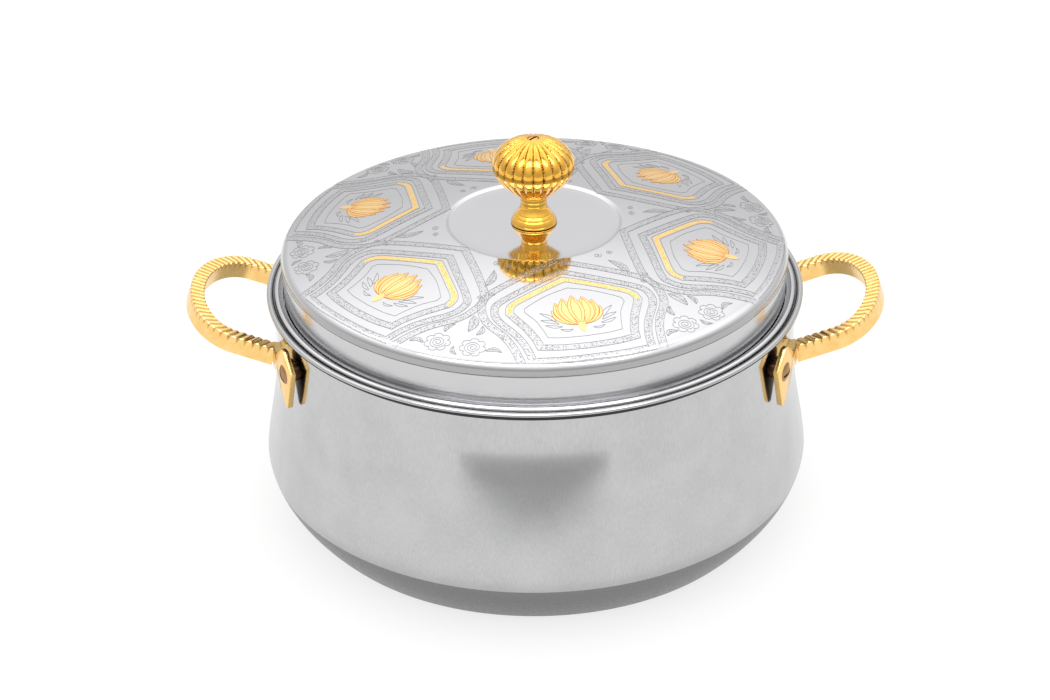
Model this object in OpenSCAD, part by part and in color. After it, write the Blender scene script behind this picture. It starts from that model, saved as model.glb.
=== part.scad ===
// Insulated chapati casserole: a double-walled steel pot with two brass loop
// handles, and a lift-off insulated lid with a turned brass knob.
// Origin at the middle of the flat base, +Z up, handles along X. Millimetres.

/* [Pot shell] */
// Diameter over the rolled rim bead
rim_d = 250; // [230:1:290]
// Height of the middle of the rim bead above the base
rim_z = 113.5; // [106:0.5:130]
// How far the belly stands out past the neck at its widest
belly_bulge = 7.4; // [4:0.1:14]
// Height of the widest part of the belly
belly_z = 31; // [26:1:40]
// Height at which the belly has drawn in to the neck
neck_z = 91; // [80:1:94]
// How early the belly draws in on its way up to the neck, less than 1 is earlier
belly_ease = 0.7; // [0.6:0.05:1]
// How far the base draws in from the widest part of the belly
base_draw = 17.2; // [10:0.1:26]
// How late the side turns in to the base, 2 is a parabola
base_round = 1.75; // [1.4:0.05:2.4]
// Thickness of the steel sheet
sheet_t = 0.8; // [0.6:0.1:1.2]
// Radius of the rolled bead at the rim
bead_r = 1.65; // [1.4:0.05:2]
// Width of the turned-in flange that carries the base plate
base_flange_w = 14; // [8:1:24]

/* [Bowl] */
// Distance between the neck's outside and the bowl's inside, at the mouth
wall_gap = 10; // [8.5:0.1:14]
// How far the bowl's wall leans in on its way down
bowl_lean = 5; // [0:0.5:10]
// Radius of the corner between wall and floor
bowl_corner_r = 22; // [12:1:30]
// Height of the bowl's floor above the base
bowl_floor_z = 11; // [8:0.5:16]
// Depth of the lid's seat below the middle of the rim bead
seat_drop = 4.3; // [3.5:0.1:6]
// Radius of the small bead round the bowl's mouth
lip_r = 1.05; // [0.8:0.05:1.2]

/* [Lid] */
// Gap between the lid's skirt and the bowl's mouth
skirt_gap = 2.35; // [1:0.05:4]
// Height of the skirt's crease above the middle of the rim bead
crease_up = 14.6; // [10:0.2:20]
// How far the shoulder stands out over the skirt
shoulder_lip = 0.6; // [0.3:0.1:0.9]
// Radius of the shoulder
shoulder_r = 4.4; // [3:0.1:6]
// Rise of the dome from the shoulder to the middle recess
dome_rise = 9.7; // [6:0.1:16]
// Diameter of the recess in the middle of the lid
recess_d = 82; // [60:1:100]
// Depth of that recess
recess_depth = 0.8; // [0.4:0.1:1.5]
// Depth of the liner's plug below the lid's seat
plug_depth = 9.3; // [6:0.1:16]
// Gap between the plug and the bowl's wall
plug_gap = 0.7; // [0.5:0.1:1.5]
// Gap between lid and seat at rest
seat_gap = 0.3; // [0.2:0.05:0.5]

/* [Knob] */
// Height of the flared bell
bell_h = 9.5; // [7:0.1:14]
// Height of the straight neck between bell and ball
knob_neck_h = 3.3; // [1:0.1:6]
// Radius of the foot of the bell
bell_foot_r = 10.7; // [8:0.1:14]
// Radius of the neck between bell and ball
knob_neck_r = 6.1; // [5:0.1:8]
// Radius of the ball at its widest
ball_r = 18.9; // [14:0.1:24]
// Height of the ball's widest part above the neck
ball_mid_h = 16.2; // [12:0.1:20]
// Height of the ball above its widest part
ball_top_h = 13.1; // [10:0.1:16]
// How much the ball tapers to its collar, 1 is an ellipse
ball_taper = 2.8; // [1:0.1:3.5]
// How far the ball's collar stands out past the neck
collar_out = 0.5; // [0.2:0.1:1.5]
// Diameter of the stud through the knob
stud_d = 5; // [4:0.5:6]
// Outside diameter of the washer under the lid
stud_washer_d = 14; // [11:0.5:18]

/* [Handles] */
// Half the width of a loop, to its outer side
loop_half_w = 39.3; // [36:0.1:42]
// Width of the bar, seen from above
bar_w = 6.6; // [5:0.1:9]
// Height of the bar
bar_h = 8.8; // [7:0.1:10]
// Length of the straight legs, out from the neck
leg_l = 13.6; // [10:0.1:20]
// Length of the rounded end beyond the legs
nose_l = 25; // [20:0.1:36]
// Upward tilt of the loop, degrees
loop_tilt = 20; // [10:1:25]
// Drop of the bar's top at the neck below the middle of the rim bead
leg_drop = 14.5; // [13:0.1:18]
// Angle from the X axis to each foot, degrees
foot_angle = 27.5; // [26:0.1:30]
// Drop of the foot's screw below the middle of the rim bead
foot_drop = 18; // [17:0.5:20]
// Half the width of a foot plate
foot_half_w = 8.8; // [7.5:0.1:10]
// Height of a foot plate above its screw
foot_up = 12; // [9:0.1:13]
// Height of a foot plate below its screw
foot_down = 17; // [14:0.5:20]
// Thickness of a foot plate
foot_t = 2.8; // [2:0.1:4]
// Distance between the foot plate and the neck
stand_off = 2.4; // [1.6:0.1:3.4]
// Gap between the ends of the legs and the neck
leg_gap = 1.2; // [0.5:0.1:2]

/* [Fasteners] */
// Diameter of the handle screws
screw_d = 5; // [4:0.5:6]
// Diameter of a screw's head
head_d = 9.6; // [8:0.1:11]
// Height of a screw's head
head_h = 1.4; // [1.2:0.1:3]
// Width of the slots in the screws and the stud
slot_w = 1.2; // [0.8:0.1:1.6]
// Depth of those slots
slot_depth = 0.8; // [0.5:0.1:1]
// Outside diameter of the spacers
spacer_d = 8; // [7:0.1:10]
// Outside diameter of the washers in the wall
washer_d = 11; // [10:0.5:12]
// Thickness of the washers
washer_t = 1; // [0.8:0.1:1.4]
// Width of the nuts across their flats
nut_af = 8; // [7:0.5:9]
// Thickness of the nuts
nut_t = 3.4; // [2.8:0.1:3.6]
// Length of thread past each nut
thread_past = 0.8; // [0.4:0.1:1]

/* [Hidden] */

$fn = 120;
fit = 0.1;           // gap round a shank in its hole, and between foam and steel
thread_fit = 0.025;  // gap round a shank in its nut
foam_room = 1;       // room left in the foam round a nut or washer
eps = 1;             // how far a cut runs past the face that it opens
profile_steps = 12;  // points along each curved stretch of a profile

steel = "lightgray";
brass = "goldenrod";
foam = "khaki";

// The neck stands up inside the bead, and the bowl's lip stands inside the neck.
bead_bite = 0.3;     // how far the bead's inner side reaches into the neck
rim_r = rim_d / 2;
bead_x = rim_r - bead_r;
neck_r = bead_x - bead_r + bead_bite;
belly_r = neck_r + belly_bulge;
base_r = belly_r - base_draw;
base_flange_r = base_r - base_flange_w;

bowl_r = neck_r - wall_gap;
bowl_low_r = bowl_r - bowl_lean;
lip_x = neck_r - sheet_t - lip_r;
seat_z = rim_z - seat_drop;
lip_overhang = 0.1;  // how far the lip stands in over the wall of the seat
seat_wall_r = lip_x - lip_r + lip_overhang;

lid_z = seat_z + seat_gap;
skirt_r = seat_wall_r - skirt_gap;
crease_z = rim_z + crease_up;
shoulder_out_r = skirt_r + shoulder_lip;
shoulder_x = shoulder_out_r - shoulder_r;
shoulder_z = crease_z + shoulder_r / 4;
recess_r = recess_d / 2;
dome_curve_r = (shoulder_x * shoulder_x - recess_r * recess_r) / (2 * dome_rise);
dome_top_z = shoulder_z + shoulder_r + shoulder_x * shoulder_x / (2 * dome_curve_r);
function dome_z(r) = dome_top_z - r * r / (2 * dome_curve_r);
dome_slope = asin(shoulder_x / dome_curve_r);
recess_z = dome_z(recess_r) - recess_depth;
plug_r = bowl_r - plug_gap;
plug_z = lid_z - plug_depth;

knob_z = recess_z;
neck_foot_z = knob_z + bell_h;
ball_z = neck_foot_z + knob_neck_h;
ball_mid_z = ball_z + ball_mid_h;
knob_top_z = ball_mid_z + ball_top_h;
collar_r = knob_neck_r + collar_out;
stud_nut_z = knob_z - sheet_t - washer_t - nut_t;
stud_low_z = stud_nut_z - thread_past;

screw_z = rim_z - foot_drop;
plate_in = neck_r + stand_off;     // distances along a screw, from the pot's axis
plate_out = plate_in + foot_t;
wall_in = sqrt(pow(neck_r - sheet_t, 2) - pow(washer_d / 2, 2)) - thread_fit;
nut_out = wall_in - washer_t;
screw_tip = nut_out - nut_t - thread_past;

// ---- profiles, as [radius, height] points ----

// Outside of the belly: an eased curve up to the neck, a rounder one to the base
function belly_out(z) =
    z >= neck_z ? neck_r :
    z >= belly_z ? neck_r + (belly_r - neck_r)
        * (1 + cos(180 * pow((z - belly_z) / (neck_z - belly_z), belly_ease))) / 2 :
    belly_r - (belly_r - base_r) * pow((belly_z - z) / belly_z, base_round);

function ease(a, b) = [for (i = [0:profile_steps]) a + (b - a) * i / profile_steps];
function belly_heights(from_z) = concat(ease(from_z, belly_z), ease(belly_z + 2, neck_z));

function shell_outside(inset, from_z, to_z) = concat(
    [for (z = belly_heights(from_z)) [belly_out(z) - inset, z]],
    [[neck_r - inset, to_z]]);

function reversed(pts) = [for (i = [len(pts) - 1:-1:0]) pts[i]];

// Inside of the bowl from the middle of its floor to its mouth
function bowl_inside(grow) = concat(
    [[0, bowl_floor_z - grow]],
    [for (a = [-90:15:0])
        [bowl_low_r - bowl_corner_r + (bowl_corner_r + grow) * cos(a),
         bowl_floor_z + bowl_corner_r + (bowl_corner_r + grow) * sin(a)]],
    [[bowl_r + grow, seat_z - sheet_t]]);

// Top of the lid from the middle to the shoulder's outer edge
function lid_top(inset) = concat(
    [[0, recess_z - inset], [recess_r - 1.5 * recess_depth, recess_z - inset],
     [recess_r, recess_z + recess_depth - inset]],
    [for (i = [1:profile_steps])
        let (r = recess_r + (shoulder_x - recess_r) * i / profile_steps)
        [r, dome_z(r) - inset]],
    [for (a = [90 - dome_slope:-13:0])
        [shoulder_x + (shoulder_r - inset) * cos(a), shoulder_z + (shoulder_r - inset) * sin(a)]],
    [[shoulder_out_r - inset, crease_z]]);

// ---- pot ----

module along_screws(side) {
    for (front = [-1, 1])
        rotate([0, 0, (side > 0 ? 0 : 180) + front * foot_angle])
            translate([0, 0, screw_z]) rotate([0, 90, 0]) children();
}

module screw_holes(side, d, from_n, to_n) {
    along_screws(side) translate([0, 0, from_n]) cylinder(d = d, h = to_n - from_n);
}

module outer_shell() {
    color(steel) difference() {
        rotate_extrude() {
            polygon(concat(
                [[base_flange_r, 0]],
                shell_outside(0, 0, rim_z + bead_r / 2),
                reversed(shell_outside(sheet_t, sheet_t, rim_z + bead_r / 2)),
                [[base_flange_r, sheet_t]]));
            translate([bead_x, rim_z]) circle(r = bead_r);
        }
        for (side = [-1, 1])
            screw_holes(side, screw_d + 2 * fit, wall_in - eps, neck_r + eps);
    }
}

module inner_bowl() {
    color(steel) union() {
        rotate_extrude() polygon(concat(
            bowl_inside(0),
            [[bowl_r, seat_z], [seat_wall_r, seat_z], [seat_wall_r, rim_z],
             [seat_wall_r + sheet_t, rim_z], [seat_wall_r + sheet_t, seat_z - sheet_t]],
            reversed(bowl_inside(sheet_t))));
        rotate_extrude() translate([lip_x, rim_z]) circle(r = lip_r);
    }
}

module body_insulation() {
    color(foam) difference() {
        rotate_extrude() polygon(concat(
            [[0, 2 * sheet_t + fit]],
            shell_outside(sheet_t + fit, 2 * sheet_t + fit, seat_z - sheet_t - fit),
            reversed(concat(
                [for (p = bowl_inside(sheet_t + fit)) if (p[1] < seat_z - 2 * sheet_t) p],
                [[bowl_r + sheet_t + fit, seat_z - sheet_t - fit]]))));
        for (side = [-1, 1])
            screw_holes(side, washer_d + 2 * foam_room, screw_tip - fit, neck_r);
    }
}

module base_plate() {
    color(steel) translate([0, 0, sheet_t])
        cylinder(r = base_flange_r + base_flange_w / 2, h = sheet_t);
}

// ---- handles ----

leg_end = neck_r + leg_l;
leg_top_z = rim_z - leg_drop;
nose_run = nose_l / cos(loop_tilt);
leg_run = (leg_l + bar_h) / cos(loop_tilt);
neck_at_leg = sqrt(pow(neck_r, 2) - pow(loop_half_w, 2));

// Outline of a loop in its own plane, its nose a half ellipse, drawn in by a side
function loop_outline(inset) = concat(
    [[-leg_run, loop_half_w - inset]],
    [for (a = [90:-7.5:-90])
        [(nose_run - inset) * cos(a), (loop_half_w - inset) * sin(a)]],
    [[-leg_run, -loop_half_w + inset]]);

module loop_bar() {
    translate([leg_end, 0, leg_top_z + leg_l * tan(loop_tilt)])
        rotate([0, -loop_tilt, 0]) translate([0, 0, -bar_h])
            linear_extrude(bar_h) difference() {
                polygon(loop_outline(0));
                polygon(loop_outline(bar_w));
            }
}

// A foot plate at the -Y side: it points down, and is fuller on the leg's side
module foot_plate() {
    w = foot_half_w;
    rotate([0, 0, -foot_angle]) translate([plate_in, 0, screw_z])
        rotate([90, 0, 90]) linear_extrude(foot_t)
            polygon([[-w, 0.3 * foot_up], [-0.2 * w, -foot_down], [0.1 * w, -foot_down],
                     [0.65 * w, -0.6 * foot_down], [w, -0.1 * foot_down],
                     [w, foot_up / 2], [w / 4, foot_up], [-w / 8, foot_up]]);
}

// The web that turns a leg's end into its foot plate, at the -Y side
module foot_web() {
    hull() {
        rotate([0, 0, -foot_angle])
            translate([plate_in + fit, foot_half_w / 2, screw_z - foot_t])
                cube([foot_t - 2 * fit, foot_half_w / 2 - fit, 2 * foot_t]);
        translate([neck_at_leg + leg_gap, fit - loop_half_w, leg_top_z - bar_h - fit])
            cube([foot_t, bar_w - 2 * fit, bar_h - 2 * fit]);
    }
}

module handle(side) {
    color(brass) rotate([0, 0, side > 0 ? 0 : 180]) difference() {
        union() {
            loop_bar();
            for (front = [0, 1]) mirror([0, front, 0]) {
                foot_plate();
                foot_web();
            }
        }
        cylinder(r = neck_r + leg_gap, h = rim_z);
        screw_holes(1, screw_d + 2 * fit, plate_in - eps, plate_out + eps);
    }
}

module handle_screws(side) {
    color(brass) along_screws(side) difference() {
        union() {
            translate([0, 0, screw_tip])
                cylinder(d = screw_d, h = plate_out - screw_tip + head_h / 2);
            translate([0, 0, plate_out])
                cylinder(d1 = head_d, d2 = head_d - head_h / 2, h = head_h);
        }
        translate([-head_d, -slot_w / 2, plate_out + head_h - slot_depth])
            cube([2 * head_d, slot_w, slot_depth + eps]);
    }
}

module handle_spacers(side) {
    color(steel) along_screws(side) translate([0, 0, neck_r]) difference() {
        cylinder(d = spacer_d, h = stand_off);
        translate([0, 0, -eps]) cylinder(d = screw_d + 2 * fit, h = stand_off + 2 * eps);
    }
}

module handle_washers(side) {
    color(steel) along_screws(side) translate([0, 0, nut_out]) difference() {
        cylinder(d = washer_d, h = washer_t);
        translate([0, 0, -eps]) cylinder(d = screw_d + 2 * fit, h = washer_t + 2 * eps);
    }
}

module handle_nuts(side) {
    color(steel) along_screws(side) translate([0, 0, nut_out - nut_t]) difference() {
        cylinder(d = nut_af / cos(30), h = nut_t, $fn = 6);
        translate([0, 0, -eps]) cylinder(d = screw_d + 2 * thread_fit, h = nut_t + 2 * eps);
    }
}

// ---- lid ----

module lid_cover() {
    color(steel) difference() {
        rotate_extrude() polygon(concat(
            lid_top(0),
            [[skirt_r, crease_z], [skirt_r, lid_z], [skirt_r - sheet_t, lid_z],
             [skirt_r - sheet_t, crease_z - sheet_t], [shoulder_out_r - sheet_t, crease_z]],
            reversed([for (p = lid_top(sheet_t)) if (p[1] > crease_z) p])));
        translate([0, 0, recess_z - sheet_t - eps])
            cylinder(d = stud_d + 2 * fit, h = sheet_t + 2 * eps);
    }
}

module lid_liner() {
    color(steel) rotate_extrude() polygon([
        [0, plug_z], [plug_r, plug_z], [plug_r, lid_z], [skirt_r - sheet_t - fit, lid_z],
        [skirt_r - sheet_t - fit, lid_z + sheet_t], [plug_r - sheet_t, lid_z + sheet_t],
        [plug_r - sheet_t, plug_z + sheet_t], [0, plug_z + sheet_t]]);
}

module lid_insulation() {
    color(foam) difference() {
        rotate_extrude() polygon(concat(
            [[0, plug_z + sheet_t + fit], [plug_r - sheet_t - fit, plug_z + sheet_t + fit],
             [plug_r - sheet_t - fit, lid_z + sheet_t + fit],
             [skirt_r - sheet_t - fit, lid_z + sheet_t + fit],
             [skirt_r - sheet_t - fit, crease_z - sheet_t]],
            reversed([for (p = lid_top(sheet_t + 2 * fit)) if (p[1] > shoulder_z) p])));
        translate([0, 0, stud_low_z - fit])
            cylinder(d = stud_washer_d + 2 * foam_room, h = recess_z - stud_low_z);
    }
}

// ---- knob ----

module knob_bore() {
    translate([0, 0, knob_z - eps]) cylinder(d = stud_d + 2 * fit, h = knob_top_z - knob_z + 2 * eps);
}

module knob_bell() {
    color(brass) difference() {
        rotate_extrude() polygon(concat(
            [[0, knob_z]],
            [for (i = [0:profile_steps])
                let (u = i / profile_steps)
                [knob_neck_r + (bell_foot_r - knob_neck_r) * (1 + cos(180 * u)) / 2,
                 knob_z + u * bell_h]],
            [[knob_neck_r, ball_z], [0, ball_z]]));
        knob_bore();
    }
}

// The ball's outline: it tapers to a collar below, and is half an ellipse above
collar_a = acos(pow(collar_r / ball_r, 1 / ball_taper));
function ball_outline() = concat(
    [[0, ball_z]],
    [for (i = [0:profile_steps])
        let (a = -collar_a * (1 - i / profile_steps))
        [ball_r * pow(cos(a), ball_taper), ball_mid_z + ball_mid_h * sin(a) / sin(collar_a)]],
    [for (i = [1:profile_steps - 1])
        let (a = 90 * i / profile_steps)
        [ball_r * cos(a), ball_mid_z + ball_top_h * sin(a)]],
    [[0, knob_top_z]]);

module knob_ball() {
    color(brass) difference() {
        rotate_extrude() polygon(ball_outline());
        knob_bore();
    }
}

module knob_stud() {
    color(brass) difference() {
        translate([0, 0, stud_low_z]) cylinder(d = stud_d, h = knob_top_z - stud_low_z);
        translate([-stud_d, -slot_w / 2, knob_top_z - slot_depth])
            cube([2 * stud_d, slot_w, slot_depth + eps]);
    }
}

module knob_washer() {
    color(steel) translate([0, 0, stud_nut_z + nut_t]) difference() {
        cylinder(d = stud_washer_d, h = washer_t);
        translate([0, 0, -eps]) cylinder(d = stud_d + 2 * fit, h = washer_t + 2 * eps);
    }
}

module knob_nut() {
    color(steel) translate([0, 0, stud_nut_z]) difference() {
        cylinder(d = nut_af / cos(30), h = nut_t, $fn = 6);
        translate([0, 0, -eps]) cylinder(d = stud_d + 2 * thread_fit, h = nut_t + 2 * eps);
    }
}

outer_shell();
inner_bowl();
body_insulation();
base_plate();
handle(-1);  // left_handle
handle(1);  // right_handle
handle_screws(-1);  // left_handle_screws
handle_screws(1);  // right_handle_screws
handle_spacers(-1);  // left_handle_spacers
handle_spacers(1);  // right_handle_spacers
handle_washers(-1);  // left_handle_washers
handle_washers(1);  // right_handle_washers
handle_nuts(-1);  // left_handle_nuts
handle_nuts(1);  // right_handle_nuts
lid_cover();
lid_liner();
lid_insulation();
knob_ball();
knob_bell();
knob_stud();
knob_washer();
knob_nut();
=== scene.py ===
from math import atan2, cos, degrees, hypot, pi, radians, sin, sqrt, tan

import bmesh
import bpy
from mathutils import Matrix, Vector


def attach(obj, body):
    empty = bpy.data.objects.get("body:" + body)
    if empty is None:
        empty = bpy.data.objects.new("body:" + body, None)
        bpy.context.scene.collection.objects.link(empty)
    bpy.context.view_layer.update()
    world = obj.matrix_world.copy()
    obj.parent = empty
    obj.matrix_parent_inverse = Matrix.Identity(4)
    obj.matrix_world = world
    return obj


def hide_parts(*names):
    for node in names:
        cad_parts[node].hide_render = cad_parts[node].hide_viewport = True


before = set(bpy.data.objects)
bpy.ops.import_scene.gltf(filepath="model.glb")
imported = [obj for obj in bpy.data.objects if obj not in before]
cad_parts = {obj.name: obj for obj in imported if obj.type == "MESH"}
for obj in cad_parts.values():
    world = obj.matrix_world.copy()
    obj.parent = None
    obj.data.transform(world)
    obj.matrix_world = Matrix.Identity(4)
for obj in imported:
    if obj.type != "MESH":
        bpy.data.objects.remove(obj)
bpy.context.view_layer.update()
scene = bpy.context.scene
print("frame loaded:", len(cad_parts), "nodes")

# Shapes are drawn in millimetres, and turned to metres when a piece is finished.
mmToM = 0.001


def srgb(hexText):
    channels = [int(hexText[i:i + 2], 16) / 255 for i in (1, 3, 5)]
    return tuple(c / 12.92 if c <= 0.04045 else ((c + 0.055) / 1.055) ** 2.4
                 for c in channels) + (1,)


def setInputs(node, inputs):
    # sets a node's inputs, or links them to a socket or another node's first live output
    for socket, value in inputs.items():
        if isinstance(value, bpy.types.Node):
            value = next(output for output in value.outputs if output.enabled)
        if isinstance(value, bpy.types.NodeSocket):
            node.id_data.links.new(value, node.inputs[socket])
        else:
            node.inputs[socket].default_value = value


def addNode(tree, kind, inputs, stops=(), **settings):
    # adds a shader node with its settings and links, and a colour ramp's stops
    node = tree.nodes.new("ShaderNode" + kind)
    for name, value in settings.items():
        setattr(node, name, value)
    for _ in stops[2:]:  # two are there already
        node.color_ramp.elements.new(0.5)
    for i, (position, colour) in enumerate(stops):
        stop = node.color_ramp.elements[i]
        stop.position = position
        stop.color = srgb(colour) if isinstance(colour, str) else (colour,) * 3 + (1,)
    setInputs(node, inputs)
    return node


def newMaterial(name):
    # a Principled material, its tree and its shader
    material = bpy.data.materials.new(name)
    material.use_nodes = True
    return material, material.node_tree, material.node_tree.nodes["Principled BSDF"]


def objectPoint(tree, perMm=(1, 1, 1)):
    # the piece's own coordinates, counted in steps of so many a millimetre
    place = addNode(tree, "TexCoord", {}).outputs["Object"]
    return addNode(tree, "Mapping", {"Vector": place, "Scale": [s / mmToM for s in perMm]})


steelLook = {
    "tones": [(0.3, "#B4B4B5"), (0.62, "#C3C3C4")],
    "grainMm": 0.35, "grainPerMm": (1, 1, 0.12), "grainDepth": 0.004, "grainShare": 0.6,
    "blotchMm": 20.0,
    # satin below the first height and polished above the second
    "satinRough": 0.25, "satinFrom": 58, "polishedRough": 0.12, "polishedFrom": 88}


def satinShellSteel():
    # Stainless steel, sanded satin on the belly and buffed bright at the neck: blurred
    # reflections below, clear ones under the rim, and a very fine upright grain.
    look = steelLook
    material, tree, shader = newMaterial("satin stainless steel")
    point = objectPoint(tree)
    grain = addNode(tree, "TexNoise", {
        "Vector": objectPoint(tree, look["grainPerMm"]), "Scale": 1 / look["grainMm"],
        "Detail": 3.0})
    blotch = addNode(tree, "TexNoise", {
        "Vector": point, "Scale": 1 / look["blotchMm"], "Detail": 2.0})
    mixed = addNode(tree, "Math", {0: grain, 1: look["grainShare"]}, operation="MULTIPLY")
    mixed = addNode(tree, "Math", {0: blotch, 1: 1 - look["grainShare"], 2: mixed},
                    operation="MULTIPLY_ADD")
    height = addNode(tree, "SeparateXYZ", {0: point}).outputs["Z"]
    rough = addNode(tree, "MapRange", {
        "Value": height, "From Min": look["satinFrom"], "From Max": look["polishedFrom"],
        "To Min": look["satinRough"], "To Max": look["polishedRough"]},
        interpolation_type="SMOOTHSTEP")
    setInputs(shader, {
        "Metallic": 1.0, "Roughness": rough,
        "Base Color": addNode(tree, "ValToRGB", {"Fac": mixed}, look["tones"]),
        "Normal": addNode(tree, "Bump", {
            "Height": grain, "Distance": look["grainDepth"] * mmToM})})
    return material


mirrorLook = {"colour": "#CDCDCF", "smearMm": 11.11, "waveDepth": 0.02, "waveShare": 0.6}


def polishedSteel(name, rough):
    # Stainless steel buffed to a mirror, with the faint waviness of pressed sheet.
    look = mirrorLook
    material, tree, shader = newMaterial(name)
    smear = addNode(tree, "TexNoise", {
        "Vector": objectPoint(tree), "Scale": 1 / look["smearMm"], "Detail": 3.0})
    setInputs(shader, {
        "Metallic": 1.0, "Base Color": srgb(look["colour"]),
        "Roughness": addNode(tree, "ValToRGB", {"Fac": smear},
                             [(0.35, rough), (0.75, rough * 1.6)]),
        "Normal": addNode(tree, "Bump", {
            "Height": smear, "Strength": look["waveShare"],
            "Distance": look["waveDepth"] * mmToM})})
    return material


edgeLook = {
    "fromZ": 112.0, "toZ": 134.0, "rough": [(0.35, 0.18), (0.75, 0.26)],
    # colours from fromZ, low on the skirt, up to toZ, on the shoulder; the darker bands are
    # painted reflections
    "tones": [(0.105, "#C8C8C9"), (0.145, "#929293"), (0.205, "#929293"), (0.255, "#C8C8C9"),
              (0.69, "#C8C8C9"), (0.745, "#AAAAAB"), (0.827, "#AAAAAB"), (0.89, "#C8C8C9")]}


def edgeSteelWithPaintedBands():
    # Stainless steel brushed dull round the lid's edge, with painted reflections: greyer where the
    # shoulder rolls over, and darker low on the skirt, as the reflection of the dark gap in the
    # bowl's mouth.
    look = edgeLook
    material, tree, shader = newMaterial("brushed lid edge steel with painted reflections")
    point = objectPoint(tree)
    height = addNode(tree, "SeparateXYZ", {"Vector": point}).outputs["Z"]
    share = addNode(tree, "MapRange", {
        "Value": height, "From Min": look["fromZ"], "From Max": look["toZ"]})
    smear = addNode(tree, "TexNoise", {
        "Vector": point, "Scale": 1 / mirrorLook["smearMm"], "Detail": 3.0})
    setInputs(shader, {
        "Metallic": 1.0,
        "Base Color": addNode(tree, "ValToRGB", {"Fac": share}, look["tones"]),
        "Roughness": addNode(tree, "ValToRGB", {"Fac": smear}, look["rough"])})
    return material


def stippledMetal(name, light, dark, pitMm):
    # Metal stippled with a round punch: small dull pits scattered over the bright ground.
    # The real pits are finer, and are drawn this coarse to show.
    material, tree, shader = newMaterial(name)
    pits = addNode(tree, "TexVoronoi", {
        "Vector": objectPoint(tree), "Scale": 1 / pitMm, "Randomness": 0.95})
    wall = addNode(tree, "ValToRGB", {"Fac": pits}, [(0.2, 0.0), (0.42, 1.0)])
    setInputs(shader, {
        "Metallic": 1.0,
        "Base Color": addNode(tree, "ValToRGB", {"Fac": pits}, [(0.26, dark), (0.4, light)]),
        "Roughness": addNode(tree, "ValToRGB", {"Fac": pits}, [(0.26, 0.42), (0.4, 0.12)]),
        "Normal": addNode(tree, "Bump", {
            "Height": wall, "Distance": 0.05 * mmToM})})
    return material


castLook = {
    "clean": [(0.3, "#F3C578"), (0.7, "#FBD68E")], "cloudMm": 4.545,
    "tarnish": "#96602A", "tarnishDepth": [(0.2, 0.0), (0.95, 1.0)],
    "pitMm": 0.4545, "pitDepth": 0.012, "rough": [(0.3, 0.2), (0.75, 0.32)]}


def castBrass():
    # Cast brass, filed and buffed: warm light yellow with soft reflections and small pits,
    # and brown tarnish left at the bottom of the rope cuts.
    look = castLook
    material, tree, shader = newMaterial("satin cast brass")
    point = objectPoint(tree)
    cloud = addNode(tree, "TexNoise", {
        "Vector": point, "Scale": 1 / look["cloudMm"], "Detail": 4.0})
    clean = addNode(tree, "ValToRGB", {"Fac": cloud}, look["clean"])
    depth = addNode(tree, "Attribute", {}, attribute_name="cutDepth").outputs["Fac"]
    tarnish = addNode(tree, "ValToRGB", {"Fac": depth}, look["tarnishDepth"])
    pits = addNode(tree, "TexNoise", {"Vector": point, "Scale": 1 / look["pitMm"], "Detail": 3.0})
    setInputs(shader, {
        "Metallic": 1.0,
        "Base Color": addNode(tree, "Mix", {
            "Factor": tarnish, "A": clean, "B": srgb(look["tarnish"])}, data_type="RGBA"),
        "Roughness": addNode(tree, "ValToRGB", {"Fac": pits}, look["rough"]),
        "Normal": addNode(tree, "Bump", {
            "Height": pits, "Distance": look["pitDepth"] * mmToM})})
    return material


lacquerLook = {
    "coat": 0.5, "coatRough": 0.04, "clean": [(0.3, "#EFAE38"), (0.7, "#F9C24C")],
    "cloudMm": 2.857, "waveDepth": 0.01, "rough": [(0.35, 0.04), (0.75, 0.08)],
    "speckMm": 0.5263, "specks": [(0.47, 0.12), (0.58, 1.0)],
    "tarnish": "#5A3714", "tarnishDepth": [(0.12, 0.0), (0.45, 1.0)]}


def polishedBrass():
    # Brass polished under clear lacquer: deep yellow and mirror bright, with dark specks of
    # tarnish caught between the flutes.
    look = lacquerLook
    material, tree, shader = newMaterial("polished lacquered brass")
    point = objectPoint(tree)
    cloud = addNode(tree, "TexNoise", {
        "Vector": point, "Scale": 1 / look["cloudMm"], "Detail": 3.0})
    clean = addNode(tree, "ValToRGB", {"Fac": cloud}, look["clean"])
    dots = addNode(tree, "TexNoise", {
        "Vector": point, "Scale": 1 / look["speckMm"], "Detail": 4.0})
    specks = addNode(tree, "ValToRGB", {"Fac": dots}, look["specks"])
    depth = addNode(tree, "Attribute", {}, attribute_name="cutDepth").outputs["Fac"]
    caught = addNode(tree, "Math", {0: depth, 1: specks}, operation="MULTIPLY")
    tarnish = addNode(tree, "ValToRGB", {"Fac": caught}, look["tarnishDepth"])
    setInputs(shader, {
        "Metallic": 1.0, "Coat Weight": look["coat"], "Coat Roughness": look["coatRough"],
        "Base Color": addNode(tree, "Mix", {
            "Factor": tarnish, "A": clean, "B": srgb(look["tarnish"])}, data_type="RGBA"),
        "Roughness": addNode(tree, "ValToRGB", {"Fac": cloud}, look["rough"]),
        "Normal": addNode(tree, "Bump", {
            "Height": cloud, "Distance": look["waveDepth"] * mmToM})})
    return material


def plainMetal(name, colour, rough, grainMm, depthMm):
    # Small fixings and other plain metals: plated or oxidised metal with a fine uneven surface. It
    # also makes the painted shade and painted reflection colours.
    material, tree, shader = newMaterial(name)
    grain = addNode(tree, "TexNoise", {
        "Vector": objectPoint(tree), "Scale": 1 / grainMm, "Detail": 3.0})
    setInputs(shader, {
        "Metallic": 1.0, "Base Color": srgb(colour),
        "Roughness": addNode(tree, "ValToRGB", {"Fac": grain},
                             [(0.3, rough * 0.8), (0.75, rough * 1.3)]),
        "Normal": addNode(tree, "Bump", {
            "Height": grain, "Distance": depthMm * mmToM})})
    return material


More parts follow.
